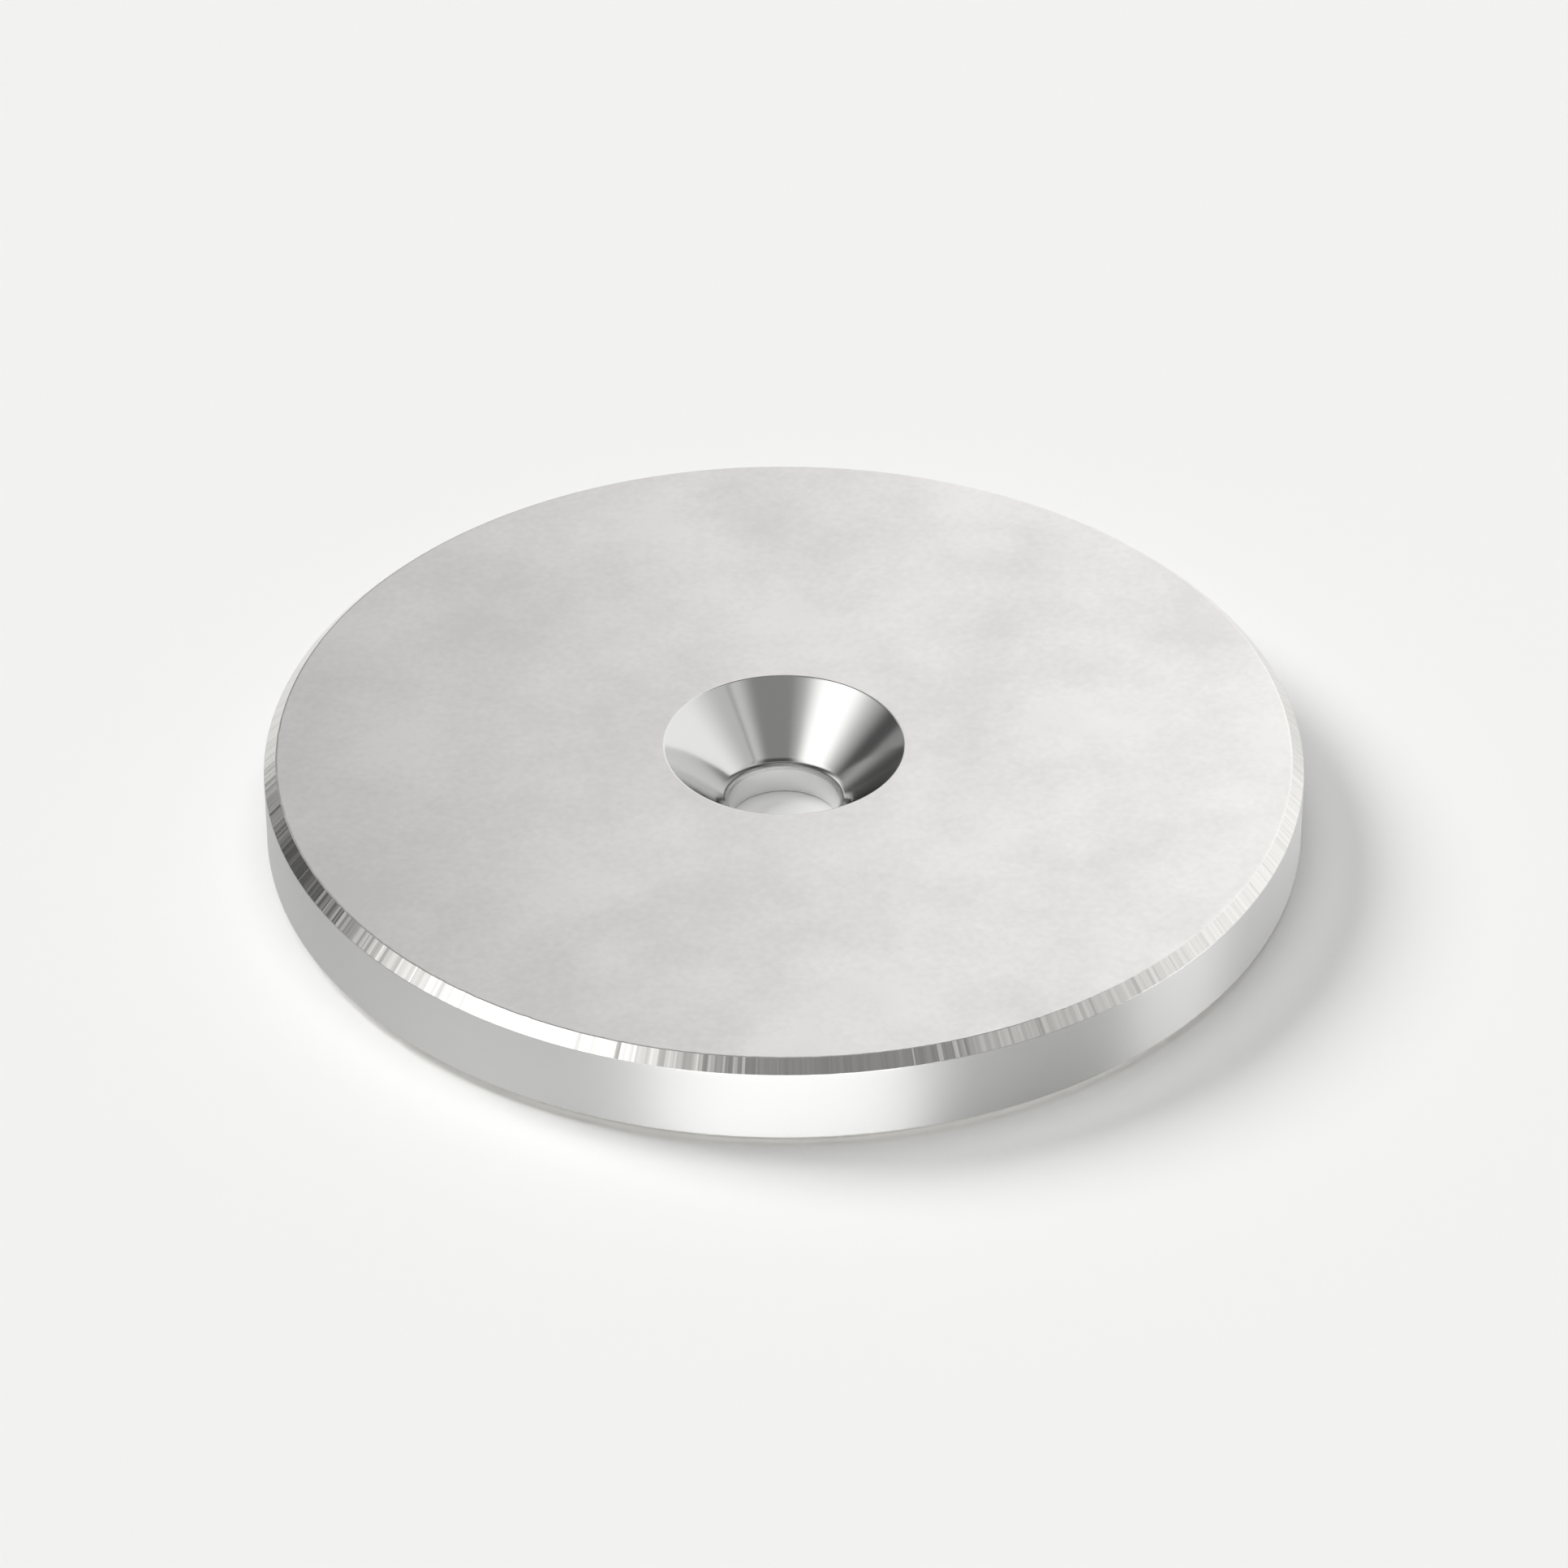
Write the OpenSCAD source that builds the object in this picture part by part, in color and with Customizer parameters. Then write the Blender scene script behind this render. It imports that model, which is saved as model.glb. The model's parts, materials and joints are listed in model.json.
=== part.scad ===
// Flat disc magnet with one countersunk screw hole in its middle.
// It lies on its back face, centred on Z, with the countersink opening upwards.
// The whole disc is one revolved section: its corners are listed once and rounded by a function.

/* [Disc] */
// Outer diameter of the disc
disc_d = 42; // [20:1:60]
// Thickness between the two flat faces
disc_t = 4; // [4:0.5:8]
// Width of the 45 degree chamfer ground on both rims
rim_chamfer = 0.5; // [0.3:0.05:1.2]

/* [Screw hole] */
// Diameter of the hole that the screw's shank passes through
bore_d = 4.5; // [4:0.1:6]
// Diameter of the countersink where it opens in the front face
sink_d = 9.7; // [8:0.1:10.5]
// Full angle of the countersink's cone, the same as under the screw's head
sink_angle = 90; // [90:5:120]

/* [Edges] */
// Radius of the broken edge between the countersink's cone and the hole
throat_r = 0.4; // [0.2:0.05:0.8]
// Radius that tumbling and plating leave on every other edge
edge_r = 0.06; // [0.02:0.01:0.12]

/* [Hidden] */
disc_r = disc_d / 2;
bore_r = bore_d / 2;
sink_r = sink_d / 2;
// Depth at which the cone would meet the hole if that edge were sharp
sink_depth = (sink_r - bore_r) / tan(sink_angle / 2);
// Chords in each rounded edge
arc_steps = 6;
plated_nickel = [0.80, 0.79, 0.77];

// Corners of the section as [radius, height, edge radius], counterclockwise from the hole's back edge
CORNERS = [
    [bore_r, 0, edge_r],
    [disc_r - rim_chamfer, 0, edge_r],
    [disc_r, rim_chamfer, edge_r],
    [disc_r, disc_t - rim_chamfer, edge_r],
    [disc_r - rim_chamfer, disc_t, edge_r],
    [sink_r, disc_t, edge_r],
    [bore_r, disc_t - sink_depth, throat_r],
];

function unit(v) = v / norm(v);
function point(corner) = [corner[0], corner[1]];

// The arc that rounds corner b, tangent to its edges from a and towards c.
// The outline turns left at every corner, so the arc sweeps from one edge's outward normal to the next.
function rounded_corner(a, b, c, r) =
    let (
        into = unit(b - a),
        out = unit(c - b),
        turn = acos(into * out),
        centre = b + unit(out - into) * r / cos(turn / 2),
        start = atan2(-into.x, into.y)
    )
    [for (i = [0:arc_steps])
        centre + r * [cos(start + turn * i / arc_steps), sin(start + turn * i / arc_steps)]];

// The outline through a list of corners, each one rounded by its own radius
function rounded_outline(corners) =
    let (n = len(corners))
    [for (i = [0:n - 1])
        each rounded_corner(
            point(corners[(i + n - 1) % n]),
            point(corners[i]),
            point(corners[(i + 1) % n]),
            corners[i][2]
        )];

// Half of the disc's section, in the plane of its axis
module section() {
    polygon(rounded_outline(CORNERS));
}

// The pressed, ground, drilled and plated disc
module disc_magnet() {
    color(plated_nickel)
        rotate_extrude($fn = 180)
            section();
}

disc_magnet();
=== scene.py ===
# %% [markdown]
# # A countersunk disc magnet, finished in Blender
#
# A magnet like this starts as neodymium powder that is pressed and sintered into a blank. The blank is ground
# flat, drilled, countersunk and chamfered with diamond tools, and then plated with nickel, because the bare
# metal rusts. The plating follows every mark that the tools left, so one bright metal shows five finishes:
# satin faces, ground chamfers, a finely lined rim, a glossy countersink and a dull hole.
#
# The lesson makes that surface once, as a section carried round an axis, gives each finish its own material,
# and then spends as much care on the light, because bare metal shows little but what stands round it.

# %% Load the measured model
import json
import math
import bpy
import numpy as np
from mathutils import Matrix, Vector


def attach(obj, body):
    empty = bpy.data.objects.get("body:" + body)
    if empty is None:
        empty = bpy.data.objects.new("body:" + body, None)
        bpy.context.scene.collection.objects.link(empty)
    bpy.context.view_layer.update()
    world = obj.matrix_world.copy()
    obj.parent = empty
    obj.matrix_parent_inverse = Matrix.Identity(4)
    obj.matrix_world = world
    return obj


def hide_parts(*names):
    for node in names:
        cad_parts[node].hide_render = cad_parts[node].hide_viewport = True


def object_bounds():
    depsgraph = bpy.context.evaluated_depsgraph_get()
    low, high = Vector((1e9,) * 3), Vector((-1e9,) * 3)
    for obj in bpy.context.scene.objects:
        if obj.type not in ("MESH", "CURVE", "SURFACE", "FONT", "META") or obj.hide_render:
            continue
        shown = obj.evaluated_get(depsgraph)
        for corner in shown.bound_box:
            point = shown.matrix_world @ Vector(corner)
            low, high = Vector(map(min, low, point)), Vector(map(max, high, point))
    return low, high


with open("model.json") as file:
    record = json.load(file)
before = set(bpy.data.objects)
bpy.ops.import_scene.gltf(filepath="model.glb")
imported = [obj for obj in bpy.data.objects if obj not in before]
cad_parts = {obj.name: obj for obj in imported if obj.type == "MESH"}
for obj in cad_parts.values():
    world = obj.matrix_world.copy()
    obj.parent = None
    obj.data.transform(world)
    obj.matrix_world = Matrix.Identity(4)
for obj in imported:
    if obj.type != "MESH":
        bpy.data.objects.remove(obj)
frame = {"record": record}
cad_low, cad_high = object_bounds()
print("box of the measured model in mm:", [round(1000 * (b - a), 2) for a, b in zip(cad_low, cad_high)])

# %% [markdown]
# ## The sizes that make the section
#
# The measured model gives the diameter, the thickness and the hole. The small cuts are written here once, in
# millimetres, and everything else is worked out from them. The two chamfers are half a millimetre at
# 45 degrees, and the countersink is the 90 degree cone that flat-headed screws have.
#
# The edge between the cone and the hole is rounded more than in the measured model, 0.7 mm where that has
# 0.4 mm. The surface moves by less than three hundredths of a millimetre, but the ring of mixed reflections
# at the foot of the cone gets the width that it has on the real part.

# %% Sizes in metres
MM = 0.001
screw_hole = next(m for m in frame["record"]["mounts"] if m["name"] == "screw_hole")
disc_r = cad_high.x
disc_t = cad_high.z
bore_r = screw_hole["dims"]["r_mm"] * MM
rim_chamfer = 0.5 * MM
sink_r = 9.7 / 2 * MM
sink_angle = math.radians(90)
sink_depth = (sink_r - bore_r) / math.tan(sink_angle / 2)
throat_r = 0.7 * MM
edge_r = 0.06 * MM
print(f"disc: radius {disc_r / MM:.2f} mm, thickness {disc_t / MM:.2f} mm")
print(f"hole: radius {bore_r / MM:.2f} mm, cone {sink_depth / MM:.2f} mm deep")

# %% [markdown]
# ## Rounding a corner
#
# No edge on a plated part is a knife edge: tumbling takes it off, and the plating builds up over it. Even
# 0.06 mm is enough to catch a thin line of light, and without that line metal looks like paper. A Bevel
# modifier could round the edges, but an arc that is worked out in the section costs a few rings and puts
# them exactly where they are wanted.

# %% An arc tangent to both edges
EDGE_GUARD = 0.05 * MM


def unit(vector):
    return vector / np.linalg.norm(vector)


def rounded_corner(before, corner, after, radius, steps):
    """The arc of one radius that touches both edges of a corner of a counterclockwise outline.

    Its centre lies on the corner's bisector, radius / cos(turn / 2) away, and it sweeps from the outward
    normal of the edge that comes in to the outward normal of the edge that goes out."""
    into = unit(corner - before)
    out = unit(after - corner)
    turn = math.acos(into @ out)
    centre = corner + unit(out - into) * radius / math.cos(turn / 2)
    angle = math.atan2(-into[0], into[1]) + np.linspace(0, turn, steps + 1)
    return centre + radius * np.stack([np.cos(angle), np.sin(angle)], axis=-1)


def straight(start, end, rings):
    """Points between two ends of a straight cut. The outer two stay close to the ends, so that the shading of
    the rounded edges stops there and doesn't leak across the flat."""
    length = np.linalg.norm(end - start)
    guard = min(EDGE_GUARD, length / 4)
    along = np.linspace(guard, length - guard, rings)[:, None]
    return start + unit(end - start) * along


square = [np.array(corner) for corner in ((0, 0), (1, 0), (1, 1))]
print("the corner (1, 0) rounded by a quarter:", rounded_corner(*square, 0.25, 2).round(3).tolist())

# %% [markdown]
# ## The section, corner by corner
#
# The outline runs counterclockwise from the hole's back edge: out along the back, up the rim, in along the
# front, and down the countersink. Each row holds a corner, how far it is rounded, and which finish the cut
# after it has. The chamfers have no rings of their own between their ends, since they are made of flat
# facets that run straight across.

# %% Build the rings of the section
FINISHES = ["face", "chamfer", "rim", "sink", "bore"]
FACE, CHAMFER, RIM, SINK, BORE = range(len(FINISHES))
EDGE_STEPS, MOUTH_STEPS, THROAT_STEPS = 3, 4, 8
CUTS = [
    # corner's radius and height, rounding, arc steps, finish of the arc, finish of the cut, rings in the cut
    ((bore_r, 0), edge_r, EDGE_STEPS, BORE, FACE, 2),
    ((disc_r - rim_chamfer, 0), edge_r, EDGE_STEPS, FACE, CHAMFER, 0),
    ((disc_r, rim_chamfer), edge_r, EDGE_STEPS, RIM, RIM, 2),
    ((disc_r, disc_t - rim_chamfer), edge_r, EDGE_STEPS, RIM, CHAMFER, 0),
    ((disc_r - rim_chamfer, disc_t), edge_r, EDGE_STEPS, FACE, FACE, 2),
    ((sink_r, disc_t), edge_r, MOUTH_STEPS, SINK, SINK, 2),
    ((bore_r, disc_t - sink_depth), throat_r, THROAT_STEPS, SINK, BORE, 2),
]


def build_section(cuts):
    """The section's points in order, the finish of the strip after each point, and how each point is pushed
    where a chamfer's facets rise or sink: in full at the chamfer's ends, fading to nothing over its arcs."""
    corners = [np.array(cut[0]) for cut in cuts]
    count = len(cuts)
    arcs = [
        rounded_corner(corners[i - 1], corners[i], corners[(i + 1) % count], cuts[i][1], cuts[i][2])
        for i in range(count)
    ]
    points, finishes, pushes = [], [], []
    for i, (_, _, steps, arc_finish, cut_finish, rings) in enumerate(cuts):
        before = unit(corners[i] - corners[i - 1])
        after = unit(corners[(i + 1) % count] - corners[i])
        fade = np.linspace(0, 1, steps + 1)[:, None]
        push_in = (cuts[i - 1][4] == CHAMFER) * (1 - fade) * np.array([before[1], -before[0]])
        push_out = (cut_finish == CHAMFER) * fade * np.array([after[1], -after[0]])
        points += [arcs[i], straight(arcs[i][-1], arcs[(i + 1) % count][0], rings)]
        pushes += [push_in + push_out, np.zeros((rings, 2))]
        finishes += [arc_finish] * steps + [cut_finish] * (rings + 1)
    return np.concatenate(points), np.array(finishes), np.concatenate(pushes)


section, strip_finish, chatter_push = build_section(CUTS)
print("rings in the section:", len(section))

# %% [markdown]
# ## Chatter on the chamfers
#
# A grinding wheel that cuts a chamfer on a spinning disc bounces a little, and leaves a run of tiny flats
# across the edge, each turned a degree or two from the next. From a step away they are what tells a ground
# chamfer from a drawn line: where a bright reflection ends, it breaks into light and dark ticks.
#
# They are real geometry here. Each flat gets a random tilt, the tilts are summed into a height, and the slow
# part of that height is taken out again, so that the chamfer keeps its place to two hundredths of a
# millimetre.

# %% Heights of the facets round the disc
COLUMNS = 2250
WIDEST_FACET = 3
LONGEST_WAVE = 1.6 * MM
CALMEST = 0.1
column_width = 2 * math.pi * disc_r / COLUMNS


def chatter_heights(seed, tilt, loudest):
    """Height of a chamfer above its true cone, for each column round the disc, in metres.

    Facets are runs of 1 to WIDEST_FACET columns. A facet's slope is a Laplace random number times tilt, so
    most facets hardly tilt and a few tilt a lot. The wheel bounced most at one bearing, loudest: the slopes
    are scaled by CALMEST + (1 - CALMEST) (1 + cos(a - loudest)) / 2. The height is their running sum, less
    its mean slope so that it closes on itself, and less every wave longer than LONGEST_WAVE so that it keeps
    its place."""
    rng = np.random.default_rng(seed)
    lengths = rng.integers(1, WIDEST_FACET + 1, COLUMNS)
    facet = np.searchsorted(np.cumsum(lengths), np.arange(COLUMNS), side="right")
    turn = np.linspace(0, 2 * math.pi, COLUMNS, endpoint=False)
    loud = (1 + np.cos(turn - math.radians(loudest))) / 2
    slope = rng.laplace(0, tilt, COLUMNS)[facet] * (CALMEST + (1 - CALMEST) * loud)
    spectrum = np.fft.rfft(np.cumsum(slope - slope.mean()) * column_width)
    spectrum[: round(COLUMNS * column_width / LONGEST_WAVE)] = 0
    return np.fft.irfft(spectrum, COLUMNS)


front_chatter = chatter_heights(seed=4, tilt=0.03, loudest=-100)
back_chatter = chatter_heights(seed=9, tilt=0.035, loudest=40)
print(f"a column is {column_width / MM:.3f} mm wide")
print(f"the facets rise up to {np.abs(front_chatter).max() / MM:.4f} mm")

# %% [markdown]
# ## Carrying the section round the axis
#
# The Screw modifier could spin the outline, but the facets need a height that changes from column to column.
# So the whole surface is worked out as one grid of points: radius and height come from the ring, the turn
# comes from the column. The grid closes on itself both ways, so there is no seam, no pole and no cap.

# %% Points of the disc
def lathe(section, push, heights_front, heights_back):
    """Points of a section carried round Z.

    Point (i, j) = (r cos a, r sin a, z) with a = 2 pi j / columns, and (r, z) = section i plus push i times
    the facets' height in column j. Rings in the upper half take the front heights, the others the back."""
    turn = np.linspace(0, 2 * math.pi, COLUMNS, endpoint=False)
    on_front = (section[:, 1] > disc_t / 2)[:, None]
    height = np.where(on_front, heights_front[None], heights_back[None])
    radius = section[:, :1] + push[:, :1] * height
    z = section[:, 1:] + push[:, 1:] * height
    return np.stack([radius * np.cos(turn), radius * np.sin(turn), z], axis=-1)


grid = lathe(section, chatter_push, front_chatter, back_chatter)
print("rings, columns and coordinates:", grid.shape)

# %% [markdown]
# ## Points into a mesh
#
# Quads join each point to its neighbours, and wrap from the last ring to the first and from the last column
# to the first, so the mesh is closed. Whole arrays go into it at once, with no loop over its corners.

# %% The disc as one closed mesh
def closed_quads(rings, columns):
    """Corner numbers of a grid's quads, wrapping both ways, wound so that the faces look outwards."""
    ring, column = np.meshgrid(np.arange(rings), np.arange(columns), indexing="ij")
    next_ring = (ring + 1) % rings
    next_column = (column + 1) % columns
    corners = [(ring, column), (ring, next_column), (next_ring, next_column), (next_ring, column)]
    return np.stack([a * columns + b for a, b in corners], axis=-1).reshape(-1, 4)


def mesh_from_grid(name, points, strip_finish):
    """A mesh from a grid of points. Each strip of quads keeps its finish as a material number, and the
    chamfers' strips stay flat-shaded, so that every facet mirrors one even tone."""
    quads = closed_quads(*points.shape[:2])
    finish = np.repeat(strip_finish, points.shape[1])
    mesh = bpy.data.meshes.new(name)
    mesh.vertices.add(points.shape[0] * points.shape[1])
    mesh.vertices.foreach_set("co", points.astype(np.float32).ravel())
    mesh.loops.add(quads.size)
    mesh.loops.foreach_set("vertex_index", quads.astype(np.int32).ravel())
    mesh.polygons.add(len(quads))
    mesh.polygons.foreach_set("loop_start", np.arange(len(quads), dtype=np.int32) * 4)
    mesh.polygons.foreach_set("material_index", finish.astype(np.int32))
    mesh.polygons.foreach_set("use_smooth", finish != CHAMFER)
    mesh.update(calc_edges=True)
    mesh.validate()
    return mesh


disc = bpy.data.objects.new("disc_magnet_plated", mesh_from_grid("disc_magnet_plated", grid, strip_finish))
bpy.context.scene.collection.objects.link(disc)
print("quads in the disc:", len(disc.data.polygons))

# %% [markdown]
# ## Nickel plating
#
# Nickel over copper over nickel is the usual coat on these magnets, a few hundredths of a millimetre thick.
# It is a metal, so its colour sits in its reflection: a light grey with hardly a breath of yellow. Beside the
# pale satin faces the lined rim and the glossy countersink look a little greyer, and here that is painted
# shade: they get a darker copy of the same nickel. The hole is drawn paler than nickel is, because light
# bounces in it several times and loses some each time.
#
# A hex colour is what the eye reads off a screen, and Blender mixes light in linear numbers, so one function
# turns the first into the second. Another adds a node, sets it and wires it, so that each material reads as a
# list of what it is made of. Two short ones turn a size into a noise's scale and start an empty metal.

# %% Colours and helpers for materials
NICKEL = "#e4e3e0"
NICKEL_BRIGHT = "#edebe9"
NICKEL_CLOUD = "#e0dedc"
# Painted shade: the deeper scratches on the chamfer get this darker nickel.
NICKEL_SCRATCH_SHADE = "#d3d2cf"
# Painted shade: a darker copy of the same nickel, for the rim and the countersink.
NICKEL_PAINTED_SHADE = "#d4d4d3"
NICKEL_PALE = "#f2f2f2"


def linear(hex_colour):
    """An sRGB hex colour as linear red, green, blue and an alpha of 1."""
    srgb = np.array([int(hex_colour[i : i + 2], 16) for i in (1, 3, 5)]) / 255
    low = srgb / 12.92
    high = ((srgb + 0.055) / 1.055) ** 2.4
    return (*np.where(srgb <= 0.04045, low, high), 1.0)


def add(tree, kind, inputs, **settings):
    """One node of a kind, with its settings. Each input is a number or colour, or another node's socket."""
    node = tree.nodes.new(kind)
    for name, value in settings.items():
        setattr(node, name, value)
    for socket, value in inputs.items():
        if isinstance(value, bpy.types.NodeSocket):
            tree.links.new(value, node.inputs[socket])
        else:
            node.inputs[socket].default_value = value
    return node


def per_metre(size_mm):
    """Scale of a noise whose cells measure size_mm, on coordinates in metres."""
    return 1 / (size_mm * MM)


def new_material(name):
    """An empty metal, its shader wired to the output: the material, its tree and the shader to fill in."""
    material = bpy.data.materials.new(name)
    material.use_nodes = True
    material.node_tree.nodes.clear()
    shader = material.node_tree.nodes.new("ShaderNodeBsdfPrincipled")
    shader.inputs["Metallic"].default_value = 1.0
    add(material.node_tree, "ShaderNodeOutputMaterial", {"Surface": shader.outputs["BSDF"]})
    return material, material.node_tree, shader


print("nickel in linear numbers:", [round(float(part), 3) for part in linear(NICKEL)])

# %% [markdown]
# ## The satin faces
#
# Both faces are ground flat on a surface grinder and then tumbled with ceramic chips before plating. That
# leaves a grain which spreads a reflection into a soft glow, so it is mostly a roughness here. It stays
# above 0.275: Blender's denoiser takes anything glossier for a mirror, and would draw a thin line wherever
# the gloss crossed that value.
#
# What the eye does see are faint clouds, a few millimetres wide with smaller ones inside them, where the
# plating grew a little brighter or duller, and a grain in them like an eggshell's. Both are noises, added up
# and drawn as colour. The grain is 0.3 mm wide, a few times coarser than the real one, which no picture of
# the whole disc could show. One more noise varies the gloss, and a slow swell of a hundredth of a millimetre
# tilts the glow a little, as on a sheet that was ground and not rolled.

# %% Face material
CLOUD_MM = 6
GRAIN_MM = 0.3
GRAIN_WEIGHT = 0.36
BLOT_MM = 2.2
SATIN_ROUGHNESS = (0.285, 0.34)
FACE_SWELL_MM = 6
FACE_SWELL_HEIGHT = 0.014 * MM


def satin_face():
    material, tree, shader = new_material("satin_nickel_on_ground_face")
    place = add(tree, "ShaderNodeTexCoord", {}).outputs["Object"]
    clouds = add(tree, "ShaderNodeTexNoise", {"Vector": place, "Scale": per_metre(CLOUD_MM), "Detail": 4.0})
    grain = add(tree, "ShaderNodeTexNoise", {"Vector": place, "Scale": per_metre(GRAIN_MM), "Detail": 1.0})
    blots = add(tree, "ShaderNodeTexNoise", {"Vector": place, "Scale": per_metre(BLOT_MM), "Detail": 2.0})
    swells = add(
        tree, "ShaderNodeTexNoise", {"Vector": place, "Scale": per_metre(FACE_SWELL_MM), "Detail": 0.0}
    )
    grainy_clouds = add(
        tree, "ShaderNodeMath",
        {0: grain.outputs["Fac"], 1: GRAIN_WEIGHT, 2: clouds.outputs["Fac"]},
        operation="MULTIPLY_ADD",
    )
    share = add(
        tree, "ShaderNodeMapRange",
        {"Value": grainy_clouds.outputs[0], "From Min": 0.5, "From Max": 0.5 + GRAIN_WEIGHT},
    )
    colour = add(
        tree, "ShaderNodeMix",
        {0: share.outputs["Result"], 6: linear(NICKEL_CLOUD), 7: linear(NICKEL_BRIGHT)},
        data_type="RGBA",
    )
    gloss = add(
        tree, "ShaderNodeMapRange",
        {
            "Value": blots.outputs["Fac"], "From Min": 0.2, "From Max": 0.8,
            "To Min": SATIN_ROUGHNESS[0], "To Max": SATIN_ROUGHNESS[1],
        },
    )
    swell = add(
        tree, "ShaderNodeBump",
        {"Height": swells.outputs["Fac"], "Strength": 1.0, "Distance": FACE_SWELL_HEIGHT},
    )
    tree.links.new(colour.outputs[2], shader.inputs["Base Color"])
    tree.links.new(gloss.outputs["Result"], shader.inputs["Roughness"])
    tree.links.new(swell.outputs["Normal"], shader.inputs["Normal"])
    return material


face_nickel = satin_face()
print(f"{face_nickel.name} has {len(face_nickel.node_tree.nodes)} nodes")

# %% [markdown]
# ## The ground chamfers
#
# The wheel's marks run straight across the chamfer. The widest are the facets that the mesh already has. The
# fine ones are a noise read on the direction from the axis alone, so that it is the same all the way across
# the chamfer and changes only round the disc. It tilts the surface a little, and it paints shade into the
# deeper scratches as a darker colour.
# They are drawn 0.2 mm apart, a few times coarser than the real ones, which no picture from here could show.

# %% Chamfer material
MARK_MM = 0.2
MARK_HEIGHT = 0.004 * MM
CHAMFER_ROUGHNESS = 0.16


def ground_chamfer():
    material, tree, shader = new_material("bright_nickel_on_ground_chamfer")
    place = add(tree, "ShaderNodeTexCoord", {}).outputs["Object"]
    flat_place = add(tree, "ShaderNodeVectorMath", {0: place, 1: (1.0, 1.0, 0.0)}, operation="MULTIPLY")
    bearing = add(tree, "ShaderNodeVectorMath", {0: flat_place.outputs[0]}, operation="NORMALIZE")
    on_rim = add(
        tree, "ShaderNodeVectorMath", {0: bearing.outputs[0], "Scale": disc_r}, operation="SCALE"
    )
    marks = add(
        tree, "ShaderNodeTexNoise", {"Vector": on_rim.outputs[0], "Scale": per_metre(MARK_MM), "Detail": 1.0}
    )
    # Painted shade: the deeper a scratch, the darker its colour.
    depth = add(
        tree, "ShaderNodeMapRange", {"Value": marks.outputs["Fac"], "From Min": 0.25, "From Max": 0.6}
    )
    colour = add(
        tree, "ShaderNodeMix",
        {0: depth.outputs["Result"], 6: linear(NICKEL_SCRATCH_SHADE), 7: linear(NICKEL)},
        data_type="RGBA",
    )
    scratch = add(
        tree, "ShaderNodeBump", {"Height": marks.outputs["Fac"], "Strength": 1.0, "Distance": MARK_HEIGHT}
    )
    shader.inputs["Roughness"].default_value = CHAMFER_ROUGHNESS
    tree.links.new(colour.outputs[2], shader.inputs["Base Color"])
    tree.links.new(scratch.outputs["Normal"], shader.inputs["Normal"])
    return material


chamfer_nickel = ground_chamfer()
print(f"{chamfer_nickel.name} has {len(chamfer_nickel.node_tree.nodes)} nodes")

# %% [markdown]
# ## The ground rim
#
# The rim is ground between two wheels while the disc spins, which leaves fine lines that run round it. Lines
# spread a reflection across themselves and keep it narrow along themselves, so here it is smeared up and
# down: the rim mirrors the board and the tent at once, as soft upright bands. The shader calls that
# anisotropic. Its tangent runs round Z, and a quarter turn sets the wide spread across the lines.

# %% Rim material
RIM_SWELL_MM = 4
RIM_SWELL_HEIGHT = 0.03 * MM
RIM_ROUGHNESS = 0.42
RIM_ANISOTROPY = 0.95
QUARTER_TURN = 0.25


def ground_rim():
    material, tree, shader = new_material("lined_nickel_on_ground_rim")
    place = add(tree, "ShaderNodeTexCoord", {}).outputs["Object"]
    swells = add(
        tree, "ShaderNodeTexNoise", {"Vector": place, "Scale": per_metre(RIM_SWELL_MM), "Detail": 1.0}
    )
    swell = add(
        tree, "ShaderNodeBump",
        {"Height": swells.outputs["Fac"], "Strength": 1.0, "Distance": RIM_SWELL_HEIGHT},
    )
    round_z = add(tree, "ShaderNodeTangent", {}, direction_type="RADIAL", axis="Z")
    # The rim's colour is the darker copy of nickel, painted shade.
    shader.inputs["Base Color"].default_value = linear(NICKEL_PAINTED_SHADE)
    shader.inputs["Roughness"].default_value = RIM_ROUGHNESS
    shader.inputs["Anisotropic"].default_value = RIM_ANISOTROPY
    shader.inputs["Anisotropic Rotation"].default_value = QUARTER_TURN
    tree.links.new(round_z.outputs["Tangent"], shader.inputs["Tangent"])
    tree.links.new(swell.outputs["Normal"], shader.inputs["Normal"])
    return material


rim_nickel = ground_rim()
print(f"{rim_nickel.name} has {len(rim_nickel.node_tree.nodes)} nodes")

# %% [markdown]
# ## The countersink and the hole
#
# The countersink is cut by a diamond cone that leaves the finest finish on the part. The hole is only
# drilled, and plating is thin inside a hole, so it stays duller. Both swell a little, which makes the edges
# of a reflection wander.

# %% Countersink and hole materials
def swelling_nickel(name, hex_colour, roughness, swell_mm, swell_height_mm):
    """Plain nickel whose surface swells gently: a noise of swell_mm, raised by swell_height_mm."""
    material, tree, shader = new_material(name)
    place = add(tree, "ShaderNodeTexCoord", {}).outputs["Object"]
    swells = add(tree, "ShaderNodeTexNoise", {"Vector": place, "Scale": per_metre(swell_mm), "Detail": 0.0})
    swell = add(
        tree, "ShaderNodeBump",
        {"Height": swells.outputs["Fac"], "Strength": 1.0, "Distance": swell_height_mm * MM},
    )
    shader.inputs["Base Color"].default_value = linear(hex_colour)
    shader.inputs["Roughness"].default_value = roughness
    tree.links.new(swell.outputs["Normal"], shader.inputs["Normal"])
    return material


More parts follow.
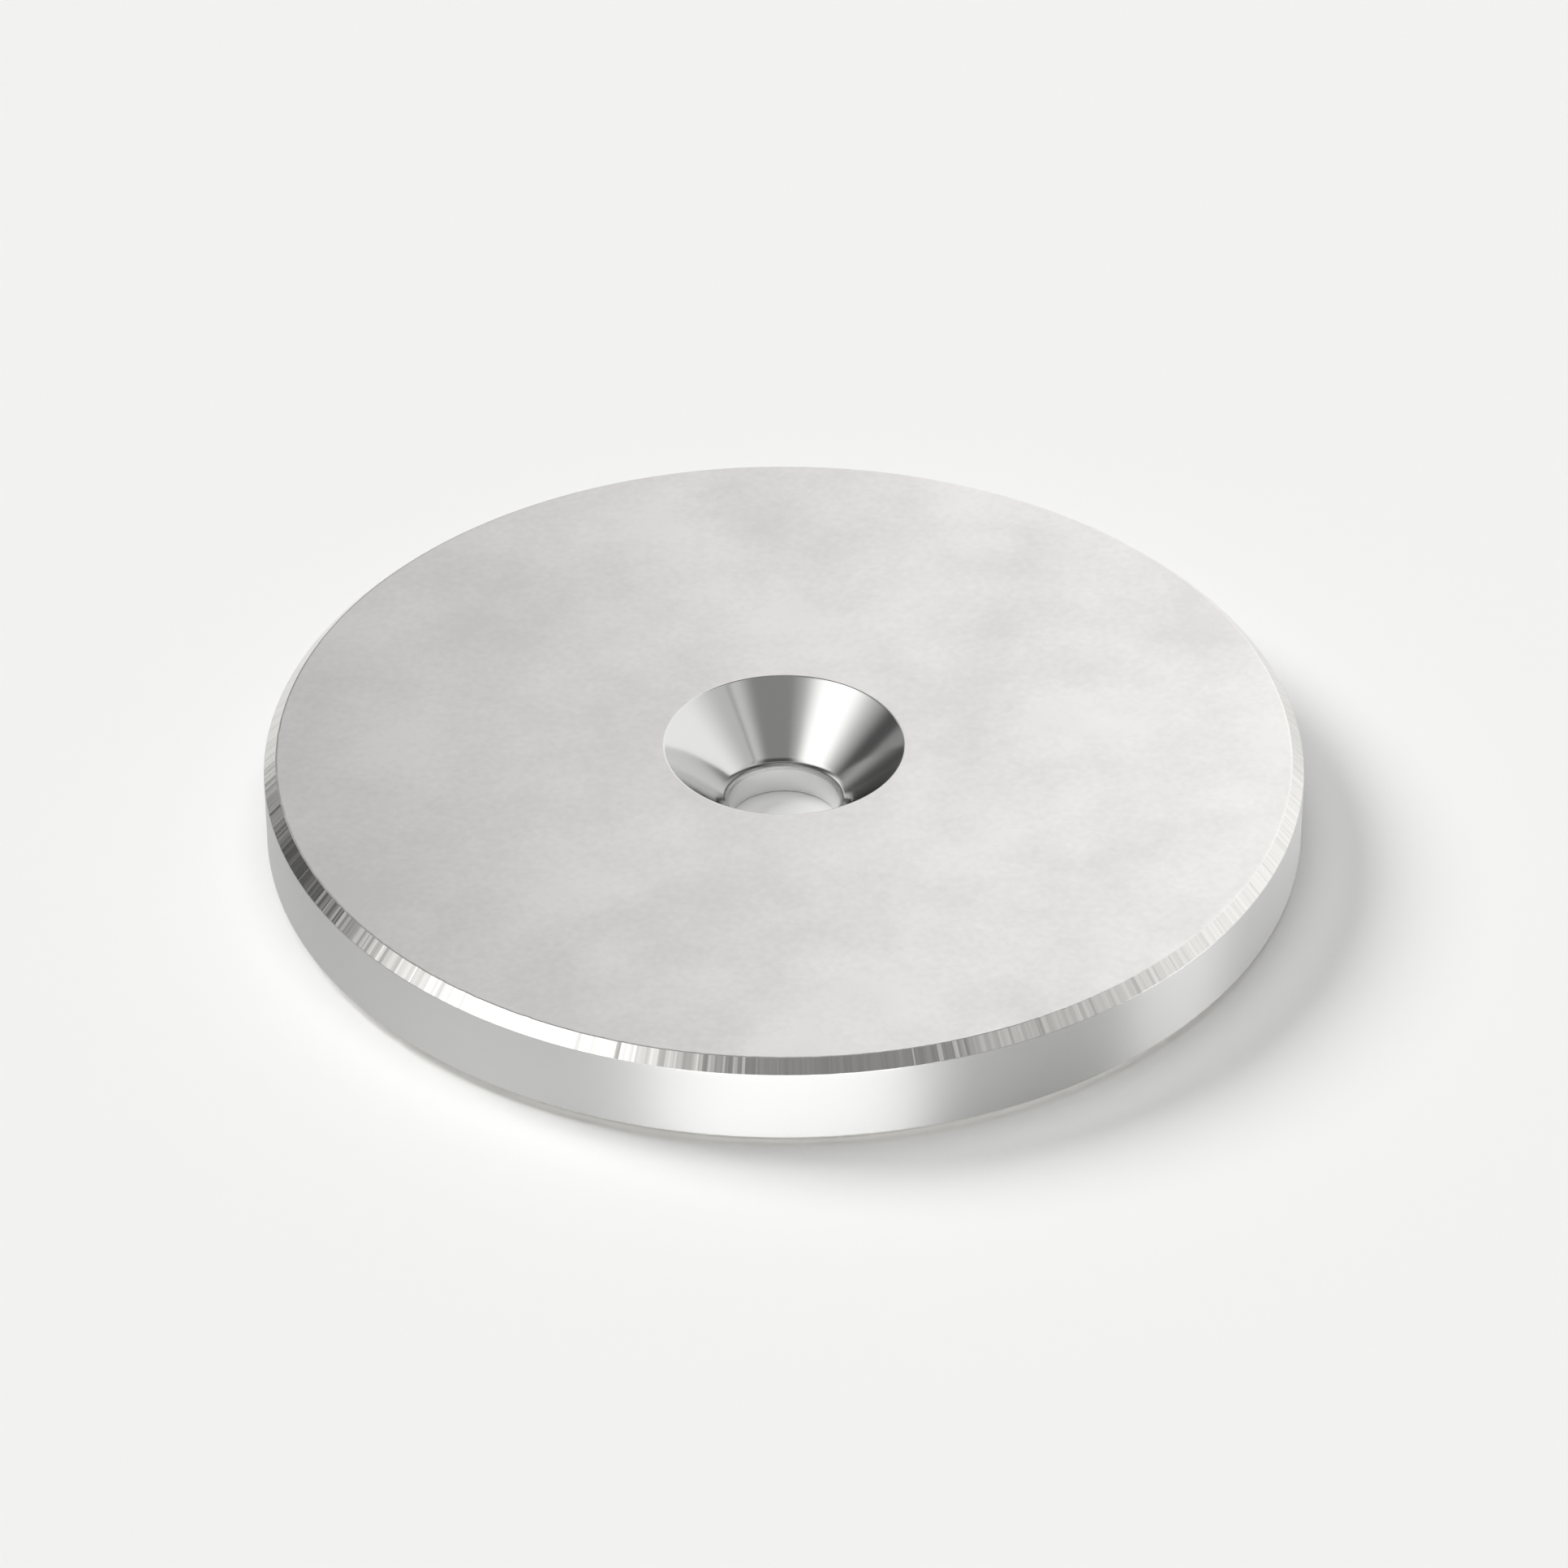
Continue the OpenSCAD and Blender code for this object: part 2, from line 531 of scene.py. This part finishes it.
finish_materials = {
    "face": face_nickel,
    "chamfer": chamfer_nickel,
    "rim": rim_nickel,
    # The countersink's colour is the darker copy of nickel, painted shade.
    "sink": swelling_nickel(
        "glossy_nickel_on_countersink", NICKEL_PAINTED_SHADE, roughness=0.13, swell_mm=1.2, swell_height_mm=0.003
    ),
    "bore": swelling_nickel(
        "dull_nickel_in_drilled_hole", NICKEL_PALE, roughness=0.3, swell_mm=0.8, swell_height_mm=0.004
    ),
}
for finish in FINISHES:
    disc.data.materials.append(finish_materials[finish])
print("finishes on the disc:", [m.name for m in disc.data.materials])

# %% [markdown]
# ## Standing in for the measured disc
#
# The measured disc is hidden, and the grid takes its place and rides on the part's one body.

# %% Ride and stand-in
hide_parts("disc_magnet")
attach(disc, "root")
print(f"{disc.name} stands for disc_magnet, rides on root and has the finish nickel_plating")

# %% [markdown]
# ## The floor
#
# A sheet of near-white board. It is wide enough that a camera close to the ground never sees its edge.

# %% Floor
FLOOR_HALF = 3.0
BOARD_WHITE = "#f4f4f3"
BOARD_ROUGHNESS = 0.85
floor_mesh = bpy.data.meshes.new("floor")
floor_mesh.from_pydata(
    [(x * FLOOR_HALF, y * FLOOR_HALF, 0) for x, y in ((-1, -1), (1, -1), (1, 1), (-1, 1))],
    [],
    [(0, 1, 2, 3)],
)
floor = bpy.data.objects.new("floor", floor_mesh)
bpy.context.scene.collection.objects.link(floor)
board = bpy.data.materials.new("matt_white_board")
board.use_nodes = True
board_shader = board.node_tree.nodes["Principled BSDF"]
board_shader.inputs["Base Color"].default_value = linear(BOARD_WHITE)
board_shader.inputs["Roughness"].default_value = BOARD_ROUGHNESS
floor.data.materials.append(board)
print(f"the board is {2 * FLOOR_HALF:.0f} m wide")

# %% [markdown]
# ## A light tent
#
# Shiny metal is photographed in a tent of white cloth, lit from outside, with gaps that stay dark. The metal
# is then drawn by that tent: a bright panel gives the white flash on the chamfer and in the countersink, a
# gap gives the dark wedges beside it, and the soft edge of a wide panel makes the slow fade across a face.
#
# Lamps and boards could build it. Here the sky itself is the tent: each panel is a patch of directions,
# between two azimuths and two elevations, and each side of it fades over a stated angle. That is quick to
# render, has no noise, and works from any side. Azimuth is counted from +X towards +Y, and the camera stands
# at -90 degrees. A panel of less than nothing takes light away, as a rod of the tent's frame does.
#
# The panels are placed by what each surface mirrors. The face mirrors the sky behind the disc, 36 degrees up,
# so the fill ends there in a soft edge. The chamfer and the countersink mirror a long path round the whole
# tent: the key on it makes the white flash, the front panel, the slot and the skirt lighten the dark parts
# beside it, and the rod makes the thin dark line down the cone. The rounded edges sweep across the sky
# overhead, where a dark gap below the crown draws them as thin grey lines.
#
# The low panels draw the rim: the strip makes its flash, and the gap and the window beside the flash make a
# darker and a lighter band. The crown, the back left and the low sides also keep the faces pale for someone
# who looks from above or walks round the disc.

# %% Panels of the tent
CLOTH_IN_SHADE = 0.10
PANELS = [
    # name, (azimuth, fade) where it starts and ends, (elevation, fade) where it starts and ends, brightness
    ("key", (178, 44), (240, 48), (22, 16), (57, 14), 1.6),
    ("fill", (-43, 28), (94.5, 22), (-20, 8), (55, 12), 0.56),
    ("more_fill", (0, 40), (94.5, 22), (-20, 8), (55, 12), 0.50),
    ("glow_behind", (50, 30), (94.5, 22), (24, 12), (60, 16), 0.12),
    ("back_left", (114, 14), (142, 14), (22, 10), (52, 20), 0.7),
    ("front", (-112, 16), (-24, 30), (45, 12), (64, 12), 0.22),
    ("slot", (124, 10), (143, 8), (-8, 8), (14, 10), 0.24),
    ("skirt", (158, 12), (180, 20), (14, 8), (32, 10), 0.18),
    ("rod", (-29, 3), (-25, 3), (32, 6), (58, 6), -0.32),
    ("crown", (-180, 1), (180, 1), (76, 12), (120, 4), 0.50),
    ("low_left", (166, 20), (214, 20), (-10, 4), (8, 12), 0.6),
    ("low_strip", (-116, 26), (-63, 14), (0, 4), (18, 8), 9.0),
    ("low_right", (-62, 20), (-20, 20), (-10, 4), (22, 14), 0.45),
    ("low_gap", (-42, 8), (-22, 6), (-20, 8), (20, 10), -0.9),
    ("low_window", (-17, 5), (7, 10), (-10, 4), (14, 8), 4.5),
]
print("panels in the tent:", len(PANELS))

# %% [markdown]
# ## A patch of sky with soft sides
#
# The sky's shader is asked for one direction at a time. Its azimuth is the arctangent of Y over X, and its
# elevation the arcsine of Z, both in radians. A smooth step while an angle passes a side makes that side
# soft, and a step up times a step down makes a range.

# %% Directions and soft ranges
world = bpy.data.worlds.new("light_tent")
bpy.context.scene.world = world
world.use_nodes = True
sky = world.node_tree
sky.nodes.clear()
towards = add(sky, "ShaderNodeTexCoord", {}).outputs["Generated"]
parts = add(sky, "ShaderNodeSeparateXYZ", {"Vector": towards})
azimuth = add(sky, "ShaderNodeMath", {0: parts.outputs["Y"], 1: parts.outputs["X"]}, operation="ARCTAN2")
elevation = add(sky, "ShaderNodeMath", {0: parts.outputs["Z"]}, operation="ARCSINE")


def soft_edge(angle, middle, fade, before, after):
    """A socket that turns smoothly from before to after while an angle passes middle, over fade degrees."""
    return add(
        sky, "ShaderNodeMapRange",
        {
            "Value": angle,
            "From Min": math.radians(middle - fade / 2), "From Max": math.radians(middle + fade / 2),
            "To Min": before, "To Max": after,
        },
        interpolation_type="SMOOTHSTEP",
    ).outputs["Result"]


def soft_range(angle, start, end):
    """A socket that is 1 between start and end, each an angle and its fade, and 0 outside."""
    rise = soft_edge(angle, *start, 0.0, 1.0)
    fall = soft_edge(angle, *end, 1.0, 0.0)
    return add(sky, "ShaderNodeMath", {0: rise, 1: fall}, operation="MULTIPLY").outputs[0]


print("nodes that read the direction:", len(sky.nodes))

# %% [markdown]
# ## Adding the panels up
#
# A panel is its range across times its range upwards, and all panels are added to what the bare cloth gives.
# Each azimuth is first counted from the panel's middle and wrapped to half a turn either way, so that no
# panel is cut where azimuth jumps from 180 to -180 degrees.

# %% Brightness of the tent
brightness = add(sky, "ShaderNodeValue", {})
brightness.outputs[0].default_value = CLOTH_IN_SHADE
brightness = brightness.outputs[0]
for name, left, right, bottom, top, power in PANELS:
    middle = (left[0] + right[0]) / 2
    turned = add(
        sky, "ShaderNodeMath", {0: azimuth.outputs[0], 1: math.radians(middle)}, operation="SUBTRACT"
    )
    wrapped = add(sky, "ShaderNodeMath", {0: turned.outputs[0], 1: -math.pi, 2: math.pi}, operation="WRAP")
    across = soft_range(wrapped.outputs[0], (left[0] - middle, left[1]), (right[0] - middle, right[1]))
    upwards = soft_range(elevation.outputs[0], bottom, top)
    patch = add(sky, "ShaderNodeMath", {0: across, 1: upwards}, operation="MULTIPLY")
    brightness = add(
        sky, "ShaderNodeMath", {0: patch.outputs[0], 1: power, 2: brightness}, operation="MULTIPLY_ADD"
    ).outputs[0]
print("nodes in the tent's sky:", len(sky.nodes))

# %% [markdown]
# ## The tent is for the metal alone
#
# The camera looks past the board at an even near-white instead of at the panels. The board doesn't see them
# either: their light would fall on it in patches, so it gets lamps of its own.

# %% What the camera and the board see of the tent
BACKDROP_WHITE = "#f6f6f5"
tent = add(sky, "ShaderNodeBackground", {"Color": (1.0, 1.0, 1.0, 1.0), "Strength": brightness})
backdrop = add(sky, "ShaderNodeBackground", {"Color": linear(BACKDROP_WHITE), "Strength": 1.0})
to_camera = add(sky, "ShaderNodeLightPath", {}).outputs["Is Camera Ray"]
seen = add(sky, "ShaderNodeMixShader", {0: to_camera, 1: tent.outputs[0], 2: backdrop.outputs[0]})
add(sky, "ShaderNodeOutputWorld", {"Surface": seen.outputs[0]})
world.cycles_visibility.diffuse = False
print("behind the board the camera sees", BACKDROP_WHITE)
print("the board sees the tent:", world.cycles_visibility.diffuse)

# %% [markdown]
# ## Lamps for the board
#
# Photographers light such a board through a polarising sheet, and a filter on the lens then hides that lamp's
# glare on the metal. The lamps here do the same: they are left out of glossy reflections, so they light only
# the board. The first stands at the back left, so that the shadow falls to the front right, and is 30 degrees
# wide, which keeps the shadow soft. The second shines straight down the hole, so that its wall has a bright
# board to mirror. The third is nearly the whole sky, whose shadow shows only close to the rim. All are so far
# away that the board is equally bright everywhere.

# %% Lamps
def board_lamp(name, azimuth, elevation, width, board_light):
    """A round lamp far away, width degrees across, that adds board_light to the light on the board."""
    data = bpy.data.lights.new(name, "SUN")
    data.angle = math.radians(width)
    data.energy = board_light / math.sin(math.radians(elevation))
    lamp = bpy.data.objects.new(name, data)
    bpy.context.scene.collection.objects.link(lamp)
    lamp.rotation_euler = (0.0, math.radians(90 - elevation), math.radians(azimuth))
    lamp.visible_glossy = False
    print(f"{name} is {width} degrees wide and adds {board_light}")


board_lamp("side_lamp", azimuth=150, elevation=38, width=30, board_light=1.45)
board_lamp("top_lamp", azimuth=0, elevation=90, width=50, board_light=1.2)
board_lamp("cloth_above", azimuth=0, elevation=90, width=160, board_light=0.4)

# %% [markdown]
# ## The camera
#
# The photograph sees the disc 54 degrees off its axis from 273 mm away, which sets how far the circles are
# squashed and how much the near side grows. The disc lies flat here, so the camera looks down on it at the
# same slant and distance, and a longer lens lets it fill more of the picture.

# %% Camera
off_axis = math.radians(54.2)
camera_distance = 273 * MM
disc_share_of_width = 0.66
camera_data = bpy.data.cameras.new("camera")
camera_data.sensor_width = 36.0
camera_data.lens = camera_data.sensor_width * disc_share_of_width * camera_distance / (2 * disc_r)
camera_data.clip_start = 0.01
camera = bpy.data.objects.new("camera", camera_data)
bpy.context.scene.collection.objects.link(camera)
looked_at = np.array([0.0, 0.0, disc_t / 2])
camera.location = looked_at + camera_distance * np.array([0.0, -math.sin(off_axis), math.cos(off_axis)])
camera.rotation_euler = (off_axis, 0.0, 0.0)
bpy.context.scene.camera = camera
bpy.context.scene.view_settings.view_transform = "Standard"
print(f"lens {camera_data.lens:.0f} mm")
